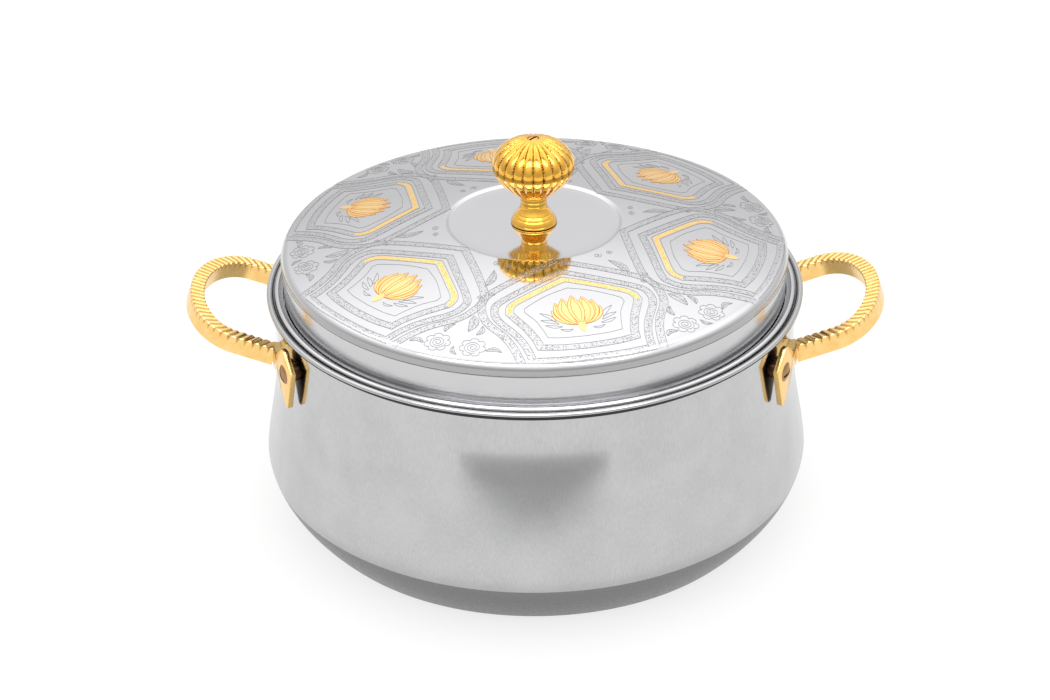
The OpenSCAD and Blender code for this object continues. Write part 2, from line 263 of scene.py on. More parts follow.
foamLook = {"cellMm": 0.8333, "cellDepth": 0.3, "tones": [(0.1, "#C9B67C"), (0.6, "#E3D29B")]}


def insulationFoam():
    # Rigid polyurethane foam: matt cream, with small open cells where it was cast.
    material, tree, shader = newMaterial("rigid insulation foam")
    cells = addNode(tree, "TexVoronoi", {
        "Vector": objectPoint(tree), "Scale": 1 / foamLook["cellMm"]})
    setInputs(shader, {
        "Roughness": 0.9,
        "Base Color": addNode(tree, "ValToRGB", {"Fac": cells}, foamLook["tones"]),
        "Normal": addNode(tree, "Bump", {
            "Height": cells, "Distance": foamLook["cellDepth"] * mmToM})})
    return material


shellSteel = satinShellSteel()
# painted shade and reflection: this darker steel stands for the reflected shadow of the floor on
# the band at the foot, and for the shade in the bead's groove and the lid's crease
shadeAndReflectionSteel = plainMetal("steel painted dark as shade and reflection", "#888889", 0.3, 1.5, 0.004)
mirrorSteel = polishedSteel("polished stainless steel", 0.07)
lidSteel = polishedSteel("mirror-buffed lid steel", 0.055)
edgeSteel = edgeSteelWithPaintedBands()
etchedSteel = stippledMetal("etched steel", "#C6C6C8", "#828284", 0.8)
goldInlay = stippledMetal("gold-washed etching", "#FFD990", "#E0A552", 0.75)
etchedLine = plainMetal("engraved line in steel", "#949496", 0.4, 0.5, 0.01)
goldWash = plainMetal("gold-washed steel", "#FDD794", 0.2, 0.5, 0.02)
goldLine = plainMetal("engraved line in gold wash", "#CC8638", 0.4, 0.5, 0.01)
handleBrass = castBrass()
knobBrass = polishedBrass()
screwMetal = plainMetal("browned brass", "#A8845C", 0.3, 0.4, 0.01)
paintedRecessShade = plainMetal("painted shade in crevices and slots", "#3C3B3A", 0.5, 0.5, 0.02)
paintedShadeBrass = plainMetal("brass painted dark as shade behind the handle plates", "#5E4630", 0.4, 0.4, 0.01)
zincSteel = plainMetal("zinc-plated steel", "#B4B6B8", 0.35, 0.6, 0.01)
pressedSteel = plainMetal("plain pressed steel", "#BFBFC1", 0.25, 0.5, 0.004)
foam = insulationFoam()
print("materials made")


def meshOf(bm, name):
    mesh = bpy.data.meshes.new(name)
    bm.to_mesh(mesh)
    bm.free()
    return mesh


def addObject(name, data):
    made = bpy.data.objects.new(name, data)
    scene.collection.objects.link(made)
    return made


def finishPiece(name, bm, body, materials, replaces=(), creaseOver=32):
    # takes a mesh drawn in millimetres to a finished, riding object
    bmesh.ops.scale(bm, vec=(mmToM,) * 3, verts=bm.verts)
    mesh = meshOf(bm, name)
    for material in materials:
        mesh.materials.append(material)
    mesh.shade_smooth()
    mesh.set_sharp_from_angle(angle=radians(creaseOver))
    piece = addObject(name, mesh)
    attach(piece, body)
    if replaces:
        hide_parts(*replaces)
    print("piece:", name, len(mesh.polygons), "faces")
    return piece


def lathe(profile, steps, closed=True):
    # spins an outline of (radius, height) points round the Z axis
    bm = bmesh.new()
    verts = [bm.verts.new((r, 0, z)) for r, z in profile]
    pairs = list(zip(verts, verts[1:])) + ([(verts[-1], verts[0])] if closed else [])
    edges = [bm.edges.new(pair) for pair in pairs]
    bmesh.ops.spin(bm, geom=verts + edges, axis=(0, 0, 1), cent=(0, 0, 0),
                   steps=steps, angle=2 * pi, use_merge=True)
    bmesh.ops.remove_doubles(bm, verts=bm.verts, dist=0.0005)
    bmesh.ops.recalc_face_normals(bm, faces=bm.faces)
    return bm


def arc(cx, cz, radius, start, end, steps):
    # points of an arc, its angles in degrees, counted from the outward direction
    turns = [radians(start + (end - start) * i / steps) for i in range(steps + 1)]
    return [(cx + radius * cos(a), cz + radius * sin(a)) for a in turns]


def between(a, b, steps):
    return [a + (b - a) * i / steps for i in range(steps + 1)]


pot = {
    "neckR": 122.0, "bulge": 7.4, "bellyZ": 31.0, "neckZ": 91.0, "bellyEase": 0.7,
    "baseDraw": 17.2, "baseRound": 1.75, "sheet": 0.8, "flangeR": 98.2,
    "beadX": 123.6, "beadZ": 112.4, "beadR": 1.4, "beadArc": (-136, 144),
    # the painted shade under the bead and in the groove inside it, and the band at the foot
    # painted dark as the reflection of the shadowed floor
    "shadeLowZ": 109.2, "seamEndZ": 110.4, "underBeadZ": 111.0, "grooveZ": 112.1, "darkBandZ": 24.6,
    "steps": 288}


def bellyOut(z):
    # radius of the pot's outside at a height
    widest = pot["neckR"] + pot["bulge"]
    if z >= pot["neckZ"]:
        return pot["neckR"]
    if z >= pot["bellyZ"]:
        share = ((z - pot["bellyZ"]) / (pot["neckZ"] - pot["bellyZ"])) ** pot["bellyEase"]
        return pot["neckR"] + pot["bulge"] * (1 + cos(pi * share)) / 2
    return widest - pot["baseDraw"] * ((pot["bellyZ"] - z) / pot["bellyZ"]) ** pot["baseRound"]


def makePotShell():
    neckR, beadZ, sheet, baseR = pot["neckR"], pot["beadZ"], pot["sheet"], bellyOut(0)
    heights = between(0.9, pot["darkBandZ"] - 0.2, 18)
    heights += between(pot["darkBandZ"] + 0.2, pot["bellyZ"], 6)
    heights += between(pot["bellyZ"] + 1.5, pot["neckZ"], 28)
    outside = [(pot["flangeR"], 0), (baseR - 3, 0), (baseR - 1.1, 0.06), (baseR - 0.2, 0.35)]
    outside += [(bellyOut(z), z) for z in heights]
    outside += [(neckR, z) for z in between(pot["neckZ"] + 2, pot["shadeLowZ"], 7)]
    outside += [(neckR, pot["seamEndZ"]), (neckR + 0.1, pot["underBeadZ"])]
    outside += arc(pot["beadX"], beadZ, pot["beadR"], *pot["beadArc"], 28)
    inside = [(neckR - 0.1, beadZ + 0.1), (neckR - sheet + 0.05, beadZ - 0.1)]
    inside += [(neckR - sheet, z) for z in between(beadZ - 0.4, pot["neckZ"], 4)]
    inside += [(bellyOut(z) - sheet, z) for z in reversed(heights[1:-1])]
    inside += [(baseR - 1.6, sheet), (pot["flangeR"], sheet)]
    bm = lathe(outside + inside, pot["steps"])
    # painted shade and reflection: the band at the foot is painted dark as the floor's reflected
    # shadow, the neck under the bead as the shade there, and the groove inside the bead as its
    # shade
    for face in bm.faces:
        middle = face.calc_center_median()
        r = hypot(middle.x, middle.y)
        if middle.z < pot["darkBandZ"] and r > baseR - 3:
            face.material_index = 1
        elif pot["shadeLowZ"] < middle.z < beadZ and r > neckR - 0.1:
            face.material_index = 2
        elif middle.z > pot["grooveZ"] and r < neckR + 0.4:
            face.material_index = 1
    return finishPiece("pot_shell", bm, "pot",
                       [shellSteel, shadeAndReflectionSteel, paintedRecessShade], ["outer_shell"])


bowl = {
    "floorZ": 11.0, "floorFlatR": 40.0, "wallR": 112.0, "lowR": 107.0, "cornerR": 22.0,
    "seatZ": 109.2, "seatR": 117.0, "seatBend": 0.8, "outR": 119.2, "outZ": 111.8, "steps": 288,
    # the mouth: a shallow ledge just outside the skirt, and a lip that falls away outwards
    "ledge": [(117.2, 109.4), (117.2, 112.2), (117.3, 112.6), (117.6, 112.85), (118.1, 113.0)],
    "lip": [(118.5, 113.4), (118.95, 113.92), (119.3, 114.24), (119.7, 114.38), (120.2, 114.34),
            (120.7, 114.12), (121.05, 113.82), (121.2, 113.45), (121.15, 113.0), (120.9, 112.5),
            (120.0, 112.1)]}


def makeBowl():
    sheet, corner = pot["sheet"], bowl["cornerR"]
    cornerX, cornerZ = bowl["lowR"] - corner, bowl["floorZ"] + corner
    inside = [(0, bowl["floorZ"]), (bowl["floorFlatR"], bowl["floorZ"])]
    inside += arc(cornerX, cornerZ, corner, -90, 0, 18)
    bend = bowl["seatBend"]
    inside += [(bowl["wallR"] - 0.15, bowl["seatZ"] - bend - 0.4)]
    inside += arc(bowl["wallR"] + bend, bowl["seatZ"] - bend, bend, 180, 90, 5)
    inside += [(bowl["seatR"], bowl["seatZ"])] + bowl["ledge"] + bowl["lip"]
    outside = [(bowl["outR"] + sheet, bowl["outZ"]),
               (bowl["outR"] + sheet, bowl["seatZ"] - sheet),
               (bowl["wallR"] + sheet, bowl["seatZ"] - sheet)]
    outside += arc(cornerX, cornerZ, corner + sheet, 0, -90, 14)
    outside += [(0, bowl["floorZ"] - sheet)]
    bm = lathe(inside + outside, bowl["steps"])
    return finishPiece("inner_bowl_polished", bm, "pot", [mirrorSteel],
                       ["inner_bowl"])


makePotShell()
makeBowl()


lid = {
    "skirtR": 116.85, "creaseZ": 127.6, "edgeZ": 131.6, "lowZ": 109.5, "outR": 117.45,
    "shoulderR": 4.4, "shoulderX": 113.05, "shoulderZ": 129.2, "topZ": 144.77, "curve": 1144.2,
    "recessR": 41.0, "recessW": 2.0, "recessZ": 142.5, "boreR": 2.6, "steps": 288,
    # the crease under the shoulder: how far in from outR, and how far above creaseZ
    "crease": [(0, 0.35), (0.12, 0.05), (0.65, -0.1), (0.85, -0.35), (0.65, -0.65)]}


def lidTop(r):
    # height of the lid's top at a radius
    if r <= lid["shoulderX"]:
        return lid["topZ"] - r * r / lid["curve"]
    reach = min(r - lid["shoulderX"], lid["shoulderR"])
    return lid["shoulderZ"] + sqrt(lid["shoulderR"] ** 2 - reach ** 2)


def makeLidCover():
    sheet, edgeR, slopeW = pot["sheet"], lid["recessR"], lid["recessW"]
    floorZ, skirtR = lid["recessZ"], lid["skirtR"]
    top = [(lid["boreR"], floorZ)]
    top += [(r, floorZ) for r in between(8, edgeR - slopeW - 0.2, 6)]
    rise = lidTop(edgeR) - floorZ
    top += [(edgeR - slopeW + slopeW * u, floorZ + rise * u * u * (3 - 2 * u))
            for u in between(0.12, 1, 7)]
    top += [(r, lidTop(r)) for r in between(edgeR + 1, lid["shoulderX"] - 0.5, 36)]
    top += [(lid["shoulderX"] + lid["shoulderR"] * sin(radians(a)),
             lid["shoulderZ"] + lid["shoulderR"] * cos(radians(a))) for a in between(6, 90, 14)]
    top += [(lid["outR"] - inwards, lid["creaseZ"] + up) for inwards, up in lid["crease"]]
    skirt = [(skirtR, z) for z in between(lid["creaseZ"] - 0.9, lid["lowZ"] + 0.2, 6)]
    under = [(skirtR - 0.2, lid["lowZ"]), (skirtR - sheet, lid["lowZ"])]
    under += [(skirtR - sheet, lid["creaseZ"])]
    dome = top[:-len(lid["crease"]) - 1]
    under += [(r - 0.3, z - sheet) for r, z in reversed(dome) if r > lid["boreR"] + 1]
    under += [(lid["boreR"], floorZ - sheet)]
    bm = lathe(top + skirt + under, lid["steps"])
    # painted shade in the crease under the shoulder, and painted reflections in the edge steel's
    # bands on the skirt and shoulder
    for face in bm.faces:
        middle = face.calc_center_median()
        if hypot(middle.x, middle.y) > skirtR - 0.5 and middle.z < lid["edgeZ"]:
            inCrease = lid["creaseZ"] - 0.7 < middle.z < lid["creaseZ"] + 0.2
            face.material_index = 1 if inCrease else 2
    return finishPiece("lid_cover_polished", bm, "lid",
                       [lidSteel, shadeAndReflectionSteel, edgeSteel], ["lid_cover"])


makeLidCover()
print("pot and lid shells made")


# The lid's ornament is drawn flat as (t, v) points: v runs out from the lid's middle along a
# panel's axis, and t lies across it. The points are then wrapped onto the dome.
panels = {
    "count": 6, "firstAxis": -16.8,
    "lineW": 0.26, "lineGap": 0.28, "sink": 0.12,
    "innerBandGoldW": 2.4, "innerBandW": 3.0, "middleBandW": 2.8, "outerBandW": 3.0,
    # one side of each outline, from the point towards the middle to the rim
    "innerGold": [(0, 57.9), (9.3, 62.6), (18.9, 67.6), (24.6, 70.7), (27.5, 73.5), (28.7, 77.6)],
    "innerSide": [(28.7, 77.6), (26.6, 83), (24.3, 88.5), (22.6, 94), (21.4, 98.5), (20.9, 103.2),
                  (14, 104.8), (7, 105.6), (0, 105.9)],
    "middle": [(0, 51.5), (13.9, 59.2), (22, 63.5), (29.6, 67.8), (33.6, 71.2), (35, 77.3),
               (33.8, 83), (31, 89), (28.5, 95), (27, 100.5), (26.2, 106), (26, 110.9),
               (17, 112.4), (9, 113.1), (0, 113.3)],
    "outer": [(0, 42.7), (15, 50.3), (24, 55.2), (33, 60.5), (37.5, 65), (39.5, 70.5),
              (40, 77.5), (38.6, 83.7), (35, 91), (32.7, 98), (31.5, 105), (31, 111.3)],
    "fineLine": [(0, 64.7), (10, 68.5), (18, 73.2), (21.6, 75.8), (22.2, 78.5), (19, 85),
                 (17.7, 90), (16.9, 94), (16.4, 97.6), (10, 99), (0, 99.6)]}


def smoothed(points, perMm=0.8, corner=38):
    # runs a soft curve through the points, and keeps the corners that turn sharply
    def turn(i):
        a, b = Vector(points[i]) - Vector(points[i - 1]), Vector(points[i + 1]) - Vector(points[i])
        return degrees(a.angle(b, 0))
    result = [Vector(points[0])]
    for i in range(len(points) - 1):
        p1, p2 = Vector(points[i]), Vector(points[i + 1])
        sharp1 = i == 0 or turn(i) > corner
        sharp2 = i + 2 >= len(points) or turn(i + 1) > corner
        m1 = (p2 - p1) if sharp1 else (p2 - Vector(points[i - 1])) / 2
        m2 = (p2 - p1) if sharp2 else (Vector(points[i + 2]) - p1) / 2
        steps = max(1, round((p2 - p1).length * perMm))
        for k in range(1, steps + 1):
            u = k / steps
            result.append(p1 * (2 * u ** 3 - 3 * u * u + 1) + m1 * (u ** 3 - 2 * u * u + u)
                          + p2 * (3 * u * u - 2 * u ** 3) + m2 * (u ** 3 - u * u))
    return result


def mirrored(path):
    # the whole outline from one side of it, which starts on the axis
    other = [Vector((-p.x, p.y)) for p in path]
    return list(reversed(other))[:-1] + list(path)


def offsetPath(path, distance, closed=False):
    # the path moved sideways, with its corners kept
    moved, count = [], len(path)
    for i, point in enumerate(path):
        before = path[i - 1] if i or closed else None
        after = path[(i + 1) % count] if i + 1 < count or closed else None
        a = (point - before).normalized() if before is not None else (after - point).normalized()
        b = (after - point).normalized() if after is not None else a
        normal = Vector((-(a.y + b.y), a.x + b.x))
        normal = normal.normalized() if normal.length > 1e-6 else Vector((-a.y, a.x))
        stretch = min(1 / max(0.3, normal.dot(Vector((-a.y, a.x)))), 2)
        moved.append(point + normal * distance * stretch)
    return moved


def wrapOnDome(verts, axis, lift):
    # takes flat (t, v) points to their place on the lid, for the panel on that axis
    out, side = (cos(axis), sin(axis)), (-sin(axis), cos(axis))
    limit = lid["outR"] - 0.35
    for vert in verts:
        x = vert.co.y * out[0] + vert.co.x * side[0]
        y = vert.co.y * out[1] + vert.co.x * side[1]
        r = hypot(x, y)
        if r > limit:
            x, y, r = x * limit / r, y * limit / r, limit
        vert.co = (x, y, lidTop(r) + lift)


def addRibbon(bm, rows, closed=False):
    # a strip through rows of points
    verts, chains = [], []
    for row in rows:
        made = [bm.verts.new((p.x, p.y, 0)) for p in row]
        pairs = list(zip(made, made[1:])) + ([(made[-1], made[0])] if closed else [])
        chains.append([bm.edges.new(pair) for pair in pairs])
        verts += made
    for one, other in zip(chains, chains[1:]):
        bmesh.ops.bridge_loops(bm, edges=one + other, use_pairs=True)
    return verts


def addStroke(bm, path, width, closed=False, cuts=0):
    sides = between(width / 2, -width / 2, cuts + 1)
    return addRibbon(bm, [offsetPath(path, side, closed) for side in sides], closed)


def leafSides(path, width, fullest=0.5):
    # both sides of a shape that swells from a point and back to a point
    count = len(path) - 1
    def swell(i):
        u = i / count
        u = 0.5 * u / fullest if u < fullest else 1 - 0.5 * (1 - u) / (1 - fullest)
        return max(0.04, width / 2 * sin(pi * u) ** (0.8 if u < 0.5 else 1.0))
    sides = []
    for sign in (1, -1):
        shifted = offsetPath(path, sign * 1.0)
        sides.append([p + (q - p).normalized() * swell(i)
                      for i, (p, q) in enumerate(zip(path, shifted))])
    return sides


def addLeaf(bm, path, width, fullest=0.5):
    return addRibbon(bm, leafSides(path, width, fullest))


# the kinds of marks, each with its piece, metal, slot and how far it stands above the dome
marks = {
    "bands": ("etched_bands", etchedSteel, "polished_steel", 0.04),
    "gold": ("gilt_bands", goldInlay, "brass", 0.05),
    "lines": ("engraved_lines", etchedLine, "polished_steel", 0.07),
    "flowers": ("gilt_flowers", goldWash, "brass", 0.06),
    "leaves": ("etched_leaves", etchedSteel, "polished_steel", 0.04),
    "veins": ("flower_lines", goldLine, "brass", 0.07)}
sheets = {kind: bmesh.new() for kind in marks}


def drawOn(kind, axis, add, *args, lift=0.0, **options):
    verts = add(sheets[kind], *args, **options)
    wrapOnDome(verts, axis, marks[kind][-1] + lift)


def drawLine(axis, path, closed=False):
    drawOn("lines", axis, addStroke, path, panels["lineW"], closed=closed)


def drawEdges(axis, path, width, closed=False):
    # the thin engraved lines along both sides of a band
    for side in (1, -1):
        drawLine(axis, offsetPath(path, side * (width / 2 + panels["lineGap"]), closed), closed)


def drawBand(axis, path, width, closed=False):
    drawOn("bands", axis, addStroke, path, width, closed=closed, cuts=1)
    drawEdges(axis, path, width, closed)


def drawPanel(axis):
    goldPath = mirrored(smoothed(panels["innerGold"]))
    drawOn("gold", axis, addStroke, goldPath, panels["innerBandGoldW"], cuts=1)
    half = smoothed(panels["innerSide"])
    silverPath = half + [Vector((-p.x, p.y)) for p in reversed(half[:-1])]
    drawOn("bands", axis, addStroke, silverPath, panels["innerBandW"], cuts=1)
    drawEdges(axis, goldPath + silverPath[1:-1], panels["innerBandW"], closed=True)
    # an outline that starts and ends on the axis closes without its last point
    middle = mirrored(smoothed(panels["middle"]))[:-1]
    drawBand(axis, middle, panels["middleBandW"], closed=True)
    drawBand(axis, mirrored(smoothed(panels["outer"])), panels["outerBandW"])
    drawLine(axis, mirrored(smoothed(panels["fineLine"]))[:-1], closed=True)


flower = {
    "outlineW": 0.3, "layer": 0.02,
    # petals from the back to the front: a line from root to tip, its width, where it is
    # fullest, and how far apart its inner lines lie
    "petals": [
        ([(1.6, 91.5), (5.6, 88.8), (8.6, 85.0), (10.8, 80.0)], 4.4, 0.6, 0.4),
        ([(1.4, 91.5), (4.8, 88.2), (7.0, 82.6), (8.2, 75.0)], 5.6, 0.58, 0.5),
        ([(0.9, 91.6), (3.4, 87.4), (4.6, 81.2), (4.4, 72.2)], 6.4, 0.56, 0.5),
        ([(0, 91.8), (0, 86), (0, 79.5), (0, 70.8)], 6.8, 0.54, 0.55)],
    "bulb": ([(0, 90), (0, 93), (0, 97)], 3.6, 0.4),
    "sprays": [
        ([(9.6, 89.8), (12.4, 87.6), (16.8, 85.6)], 1.8, 0.5),
        ([(10.6, 88.0), (12.2, 84.4), (16.0, 80.6)], 1.8, 0.5),
        ([(8.6, 91.8), (12.0, 91.2), (15.6, 89.4)], 1.6, 0.5),
        ([(4.4, 94.2), (7.0, 94.8), (9.8, 93.4)], 1.2, 0.5)]}


def leafLine(path, sign=1):
    # a leaf's or petal's middle line, finely divided and without corners
    return smoothed([(sign * t, v) for t, v in path], 1.4, 90)


def drawFlower(axis):
    for layer, (path, width, fullest, veins) in enumerate(flower["petals"]):
        for sign in ((1, -1) if path[1][0] else (1,)):
            line = leafLine(path, sign)
            lift = layer * flower["layer"]
            drawOn("flowers", axis, addLeaf, line, width, fullest, lift=lift)
            edges = leafSides(line, width, fullest)
            edges += leafSides(line[2:-2], width * veins, fullest)
            for edge in edges:
                drawOn("veins", axis, addStroke, edge, flower["outlineW"], lift=lift)
    path, width, fullest = flower["bulb"]
    lift = len(flower["petals"]) * flower["layer"]
    drawOn("flowers", axis, addLeaf, leafLine(path), width, fullest, lift=lift)
    for path, width, fullest in flower["sprays"]:
        for sign in (1, -1):
            for edge in leafSides(leafLine(path, sign), width, fullest):
                drawLine(axis, edge)


gaps = {
    "roseR": 107.2, "roseAt": (-5.5, 3.0), "roseD": 10.8, "turns": 2.6, "heart": 0.72,
    # an open outer petal: angles and shares of the rose's radius
    "petals": 7, "petal": [(-0.5, 0.8), (-0.25, 1.02), (0, 1.08), (0.25, 1.02), (0.5, 0.8)],
    "leaves": [
        ([(0.5, 97.5), (1.2, 92), (-0.5, 86.5)], 4.2, 0.6),
        ([(-2.5, 64.5), (-1.4, 58), (-2.6, 51.5)], 3.6, 0.45),
        ([(4.6, 99), (6.2, 96), (5.4, 92.6)], 2.4, 0.5),
        ([(-9.5, 99.6), (-9.2, 96), (-6.6, 93.6)], 2.4, 0.5),
        ([(11.6, 108), (15.2, 106.2), (18.6, 107.4)], 2.4, 0.5),
        ([(-16.2, 108), (-19.6, 106.4), (-22.4, 108)], 2.4, 0.5),
        ([(0.2, 113), (-2.2, 111.2), (-2.6, 108)], 1.8, 0.5)],
    "curlTurns": 1.5,
    "curls": [(2.6, 46.5, 1.6), (-3.4, 45.4, 1.9), (2.2, 69.5, 1.5), (-2.2, 73, 1.6)]}


def spiral(t, v, radius, turns, start=0.0, eye=0.15):
    # winds in from a radius to a small eye
    points = []
    for u in between(0, 1, round(14 * turns)):
        reach, angle = radius * (1 - (1 - eye) * u), start + 2 * pi * turns * u
        points.append(Vector((t + reach * cos(angle), v + reach * sin(angle))))
    return points


def drawGap(axis):
    for number, angle in enumerate(gaps["roseAt"]):
        t, v = gaps["roseR"] * sin(radians(angle)), gaps["roseR"] * cos(radians(angle))
        radius = gaps["roseD"] / 2
        drawLine(axis, spiral(t, v, radius * gaps["heart"], gaps["turns"], number))
        for k in range(gaps["petals"]):
            a = 2 * pi * k / gaps["petals"] + number
            drawLine(axis, [Vector((t + radius * cos(a + d) * s, v + radius * sin(a + d) * s))
                            for d, s in gaps["petal"]])
    for path, width, fullest in gaps["leaves"]:
        line = leafLine(path)
        drawOn("leaves", axis, addLeaf, line, width, fullest)
        for edge in leafSides(line, width, fullest) + [line]:
            drawLine(axis, edge)
    for t, v, radius in gaps["curls"]:
        drawLine(axis, spiral(t, v, radius, gaps["curlTurns"]))


def makeOrnament():
    for k in range(panels["count"]):
        axis = radians(panels["firstAxis"] + 360 * k / panels["count"])
        drawPanel(axis)
        drawFlower(axis)
        drawGap(axis + pi / panels["count"])
    for kind, (name, material, slot, _) in marks.items():
        bm = sheets[kind]
        for face in bm.faces:
            face.normal_update()
        upside = [face for face in bm.faces if face.normal.z < 0]
        bmesh.ops.reverse_faces(bm, faces=upside)
        bmesh.ops.solidify(bm, geom=bm.faces[:], thickness=panels["sink"])
        finishPiece(name, bm, "lid", [material])


makeOrnament()
print("lid ornament made")


knob = {
    "ballZ": 155.3, "midZ": 171.5, "topZ": 184.6, "ballR": 18.9, "collarR": 6.6, "taper": 2.8,
    "flutes": 24, "fluteDepth": 1.0, "perFlute": 16, "boreR": 2.55,
    # the flutes run out towards the top, and within some height of the collar
    "fluteInR": 2.8, "fluteRunOut": 7.0, "fluteLowRunOut": 5.0,
    "bellZ": 142.5, "bellH": 9.5, "neckR": 6.1, "footR": 10.7, "contactH": 0.33, "steps": 128,
    # turned grooves on the bell: height, half width and depth
    "lines": [(0.9, 0.4, 0.2), (3.6, 0.35, 0.14), (5.2, 0.35, 0.14), (9.3, 0.35, 0.14),
              (11.3, 0.3, 0.12)],
    "studR": 2.45, "studLow": 136.5, "slotW": 1.1, "slotDepth": 0.9, "slotTurn": 50.0}


def makeBall():
    ballZ, midZ, ballR, neck = knob["ballZ"], knob["midZ"], knob["ballR"], knob["collarR"] + 0.1
    low, high = midZ - ballZ - 0.8, knob["topZ"] - midZ
    collar = (knob["collarR"] / ballR) ** (1 / knob["taper"])
    collar = atan2(sqrt(1 - collar * collar), collar)
    profile = [(knob["boreR"], ballZ), (neck - 0.4, ballZ), (neck, ballZ + 0.25),
               (neck, ballZ + 0.6)]
    profile += [(ballR * cos(a) ** knob["taper"], midZ + low * sin(a) / sin(collar))
                for a in between(-collar, 0, 30)]
    profile += [(ballR * cos(a), midZ + high * sin(a))
                for a in between(0.06, pi / 2 - 0.14, 26)]
    bm = lathe(profile, knob["flutes"] * knob["perFlute"])
    shade = bm.verts.layers.float.new("cutDepth")
    centre = Vector((0, 0, midZ))
    for vert in bm.verts:
        r = hypot(vert.co.x, vert.co.y)
        if vert.co.z < ballZ + 0.7 or r < knob["boreR"] + 0.05:
            continue
        u = (atan2(vert.co.y, vert.co.x) * knob["flutes"] / (2 * pi)) % 1 * 2 - 1
        lobe = 1 - sqrt(max(0, 1 - u * u * 0.98))
        fade = min(1, max(0, (r - knob["fluteInR"]) / knob["fluteRunOut"]))
        fade *= min(1, (vert.co.z - ballZ) / knob["fluteLowRunOut"])
        shrink = 1 - knob["fluteDepth"] * lobe * fade / ballR
        vert.co = centre + (vert.co - centre) * shrink
        vert[shade] = lobe * fade
    return finishPiece("fluted_knob_ball", bm, "lid", [knobBrass], ["knob_ball"], 50)


def makeBell():
    low, high, neckR, footR = knob["bellZ"], knob["ballZ"], knob["neckR"], knob["footR"]
    profile = [(knob["boreR"], low), (footR - 0.3, low), (footR - 0.05, low + 0.2)]
    for h in between(0.35, high - low - 0.15, 64):
        u = min(1, h / knob["bellH"])
        r = neckR + (footR - neckR) * (1 + cos(pi * u)) / 2
        for line, half, depth in knob["lines"]:
            r -= depth * max(0, 1 - abs(h - line) / half)
        profile.append((r, low + h))
    profile += [(neckR, high), (knob["boreR"], high)]
    bm = lathe(profile, knob["steps"])
    # painted shade: the bell's lowest faces are dark as the shade where it meets the lid
    for face in bm.faces:  # the dark line where the bell meets the lid
        if face.calc_center_median().z < low + knob["contactH"]:
            face.material_index = 1
    return finishPiece("turned_knob_bell", bm, "lid", [knobBrass, paintedRecessShade],
                       ["knob_bell"])


def slottedShank(bm, profile, fixing, slotTurn, matrix):
    # a fixing turned along Z, with a screwdriver slot cut in its top end, the slot's faces painted
    # dark as the shade inside it
    slotW, slotDepth = fixing["slotW"], fixing["slotDepth"]
    part = lathe(profile, 48, closed=False)
    bmesh.ops.rotate(part, cent=(0, 0, 0), matrix=Matrix.Rotation(-slotTurn, 3, "Z"),
                     verts=part.verts)
    for side in (1, -1):
        bmesh.ops.bisect_plane(part, geom=part.verts[:] + part.edges[:] + part.faces[:],
                               plane_co=(0, side * slotW / 2, 0), plane_no=(0, 1, 0))
    top = max(v.co.z for v in part.verts)
    inSlot = [f for f in part.faces if abs(f.calc_center_median().y) < slotW / 2
              and f.calc_center_median().z > top - slotDepth and f.normal.z > 0.3]
    made = bmesh.ops.extrude_face_region(part, geom=inSlot)["geom"]
    bmesh.ops.delete(part, geom=inSlot, context="FACES_KEEP_BOUNDARY")
    # the slot's faces are painted dark as the shade inside it
    for vert in (g for g in made if isinstance(g, bmesh.types.BMVert)):
        vert.co.z = top - slotDepth
        for face in vert.link_faces:
            face.material_index = 1
    bmesh.ops.remove_doubles(part, verts=part.verts, dist=0.0005)
    bmesh.ops.rotate(part, cent=(0, 0, 0), matrix=Matrix.Rotation(slotTurn, 3, "Z"),
                     verts=part.verts)
    bmesh.ops.transform(part, matrix=matrix, verts=part.verts)
    mesh = meshOf(part, "fixing")
    bm.from_mesh(mesh)
    bpy.data.meshes.remove(mesh)


def makeStud():
    bm = bmesh.new()
    high, r = knob["topZ"] - 0.05, knob["studR"]
    profile = [(0, knob["studLow"]), (r, knob["studLow"]), (r, high - 0.45),
               (r - 0.15, high - 0.2), (r * 0.6, high - 0.05), (0, high)]
    slottedShank(bm, profile, knob, radians(knob["slotTurn"]), Matrix.Identity(4))
    return finishPiece("slotted_knob_stud", bm, "lid", [knobBrass, paintedRecessShade],
                       ["knob_stud"])


makeBall()
makeBell()
makeStud()
print("knob made")


loop = {
    "tilt": 20.0, "startX": 135.6, "topZ": 103.95, "halfW": 39.3,
    "barW": 6.6, "barH": 8.8, "nose": 26.6, "legIn": -19.0, "round": 0.35,
    "pitch": 3.7, "nosePitch": 3.1, "grooveDepth": 0.75, "slant": 32.0,
    "legSteps": 64, "noseSteps": 360}
foot = {
    "angle": -27.5, "inR": 124.4, "thick": 2.8, "screwZ": 95.5, "round": 0.4,
    "outline": [(-8.8, 3.6), (-1.76, -17), (0.88, -17), (5.7, -10.2), (8.8, -1.7), (8.8, 6),
                (2.2, 12), (-1.1, 12)],
    # the web: its half height and its reach across the plate, and its end on the leg
    "webH": 2.8, "webY": (4.4, 8.7), "legEnd": [(116.9, 90.4), (116.9, 97.6), (119.9, 88.7),
                                                (119.6, 98.2)], "legY": (-39.35, -32.9)}


def loopStations():
    # centre line of the bar in its own plane: points, each with its outward direction
    a, b = loop["nose"] - loop["barW"] / 2, loop["halfW"] - loop["barW"] / 2
    line = [(x, -b, 0, -1) for x in between(loop["legIn"], 0, loop["legSteps"])][:-1]
    for t in between(-pi / 2, pi / 2, loop["noseSteps"]):
        n = Vector((b * cos(t), a * sin(t))).normalized()
        line.append((a * cos(t), b * sin(t), n.x, n.y))
    line += [(x, b, 0, 1) for x in between(0, loop["legIn"], loop["legSteps"])][1:]
    return line


